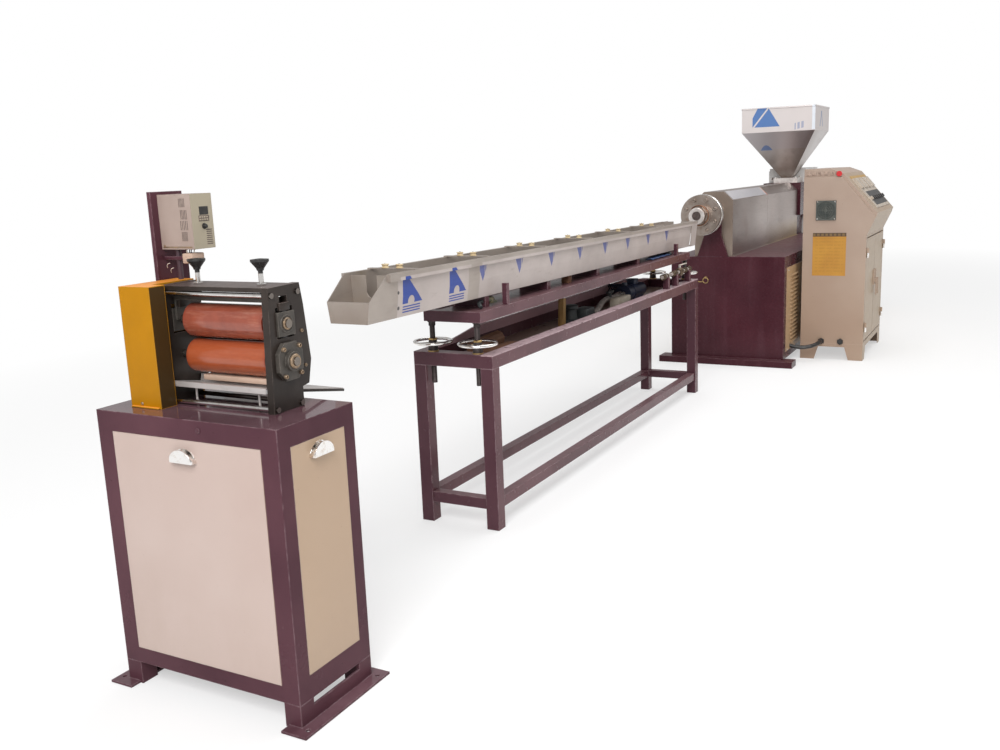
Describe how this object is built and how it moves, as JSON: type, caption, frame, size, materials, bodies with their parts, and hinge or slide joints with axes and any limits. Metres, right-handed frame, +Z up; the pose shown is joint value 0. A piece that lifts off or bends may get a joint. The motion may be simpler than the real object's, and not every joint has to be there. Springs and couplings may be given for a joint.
{
  "type": "plastic profile extrusion line",
  "caption": "Plastic extrusion line: hopper-fed extruder on a base, control cabinet, cooling trough on an adjustable stand and a roller haul-off.",
  "frame": {"origin": "on the floor under the middle of the extruder base's length, on the barrel's axis line", "axes": "+X along the line from the haul-off to the hopper, +Y to the side away from the control cabinet, +Z up"},
  "size_m": [7.6435, 1.308, 1.713],
  "materials": {
    "purple_paint": "gloss enamel",
    "cream_paint": "satin enamel",
    "beige_paint": "powder coat",
    "yellow_paint": "gloss enamel",
    "blue_paint": "gloss enamel",
    "black_steel": "blackened",
    "stainless": "brushed",
    "tool_steel": "heat stained",
    "chrome": "polished",
    "brass": "satin",
    "orange_rubber": "ground",
    "nylon": "turned",
    "black_plastic": "moulded"
  },
  "bodies": {
    "line_frame": {"base_skids": "purple_paint", "extruder_base": "purple_paint", "base_panels": "cream_paint", "barrel_support": "purple_paint", "barrel": "tool_steel", "die_head": "tool_steel", "barrel_covers": "stainless", "feed_housing": "purple_paint", "gearbox": "cream_paint", "hopper": "stainless", "hopper_gate": "stainless", "control_cabinet": "beige_paint", "cabinet_skirt": "beige_paint", "door_hinges": "chrome", "console_panel": "black_plastic", "fan_grille": "black_plastic", "cable_glands": "black_plastic", "cabinet_hose": "black_plastic", "stand_top_frame": "purple_paint", "stand_legs": "purple_paint", "stand_lower_frame": "purple_paint", "water_pump": "blue_paint", "haul_cabinet": "purple_paint", "haul_panels": "cream_paint", "cup_pulls": "chrome", "haul_feet": "purple_paint", "head_side_plates": "black_steel", "head_top_plate": "black_steel", "tie_bars": "chrome", "lower_bearings": "black_steel", "guide_tray": "stainless", "gear_guard": "yellow_paint", "control_post": "purple_paint", "speed_inverter": "beige_paint"},
    "trough_lift": {"sub_frame": "purple_paint", "jack_screws": "tool_steel", "trough_supports": "purple_paint", "trough": "stainless", "trough_baffles": "stainless", "guide_bars": "stainless", "guide_rollers": "nylon", "drain_cocks": "brass"},
    "wheel_front_near": {"handwheel_front_near": "chrome"},
    "wheel_front_far": {"handwheel_front_far": "chrome"},
    "wheel_rear_near": {"handwheel_rear_near": "chrome"},
    "wheel_rear_far": {"handwheel_rear_far": "chrome"},
    "door_near": {"cabinet_door_near": "beige_paint"},
    "door_far": {"cabinet_door_far": "beige_paint"},
    "lower_roller": {"lower_roller": "orange_rubber"},
    "roller_carriage": {"roller_carriage": "black_steel"},
    "upper_roller": {"upper_roller": "orange_rubber"},
    "knob_near": {"pressure_knob_near": "chrome"},
    "knob_far": {"pressure_knob_far": "chrome"}
  },
  "joints": [
    {"name": "trough_height", "type": "slide", "parent": "line_frame", "child": "trough_lift", "axis": [0, 0, 1], "range_m": [-0.03, 0.06]},
    {"name": "wheel_front_near_spin", "type": "hinge", "parent": "line_frame", "child": "wheel_front_near", "pos_m": [-4.724, -0.095, 0.693], "axis": [0, 0, 1], "continuous": true},
    {"name": "wheel_front_far_spin", "type": "hinge", "parent": "line_frame", "child": "wheel_front_far", "pos_m": [-4.724, 0.095, 0.693], "axis": [0, 0, 1], "continuous": true},
    {"name": "wheel_rear_near_spin", "type": "hinge", "parent": "line_frame", "child": "wheel_rear_near", "pos_m": [-2.329, -0.095, 0.693], "axis": [0, 0, 1], "continuous": true},
    {"name": "wheel_rear_far_spin", "type": "hinge", "parent": "line_frame", "child": "wheel_rear_far", "pos_m": [-2.329, 0.095, 0.693], "axis": [0, 0, 1], "continuous": true},
    {"name": "lower_roller_spin", "type": "hinge", "parent": "line_frame", "child": "lower_roller", "pos_m": [-5.932, -0.18, 0.867], "axis": [0, 1, 0], "continuous": true},
    {"name": "nip_height", "type": "slide", "parent": "line_frame", "child": "roller_carriage", "axis": [0, 0, 1], "range_m": [0, 0.006]},
    {"name": "upper_roller_spin", "type": "hinge", "parent": "roller_carriage", "child": "upper_roller", "pos_m": [-5.932, -0.18, 0.958], "axis": [0, 1, 0], "continuous": true},
    {"name": "knob_near_spin", "type": "hinge", "parent": "roller_carriage", "child": "knob_near", "pos_m": [-5.932, -0.199, 1.08], "axis": [0, 0, 1], "continuous": true},
    {"name": "knob_far_spin", "type": "hinge", "parent": "roller_carriage", "child": "knob_far", "pos_m": [-5.932, 0.008, 1.08], "axis": [0, 0, 1], "continuous": true},
    {"name": "door_near_hinge", "type": "hinge", "parent": "line_frame", "child": "door_near", "pos_m": [-1.111, -0.91, 0.4], "axis": [0, 0, 1], "range_deg": [-110, 0]},
    {"name": "door_far_hinge", "type": "hinge", "parent": "line_frame", "child": "door_far", "pos_m": [-0.362, -0.91, 0.4], "axis": [0, 0, 1], "range_deg": [0, 110]}
  ],
  "couplings": [
    {"joint": "upper_roller_spin", "follows": "lower_roller_spin", "ratio": -1}
  ]
}
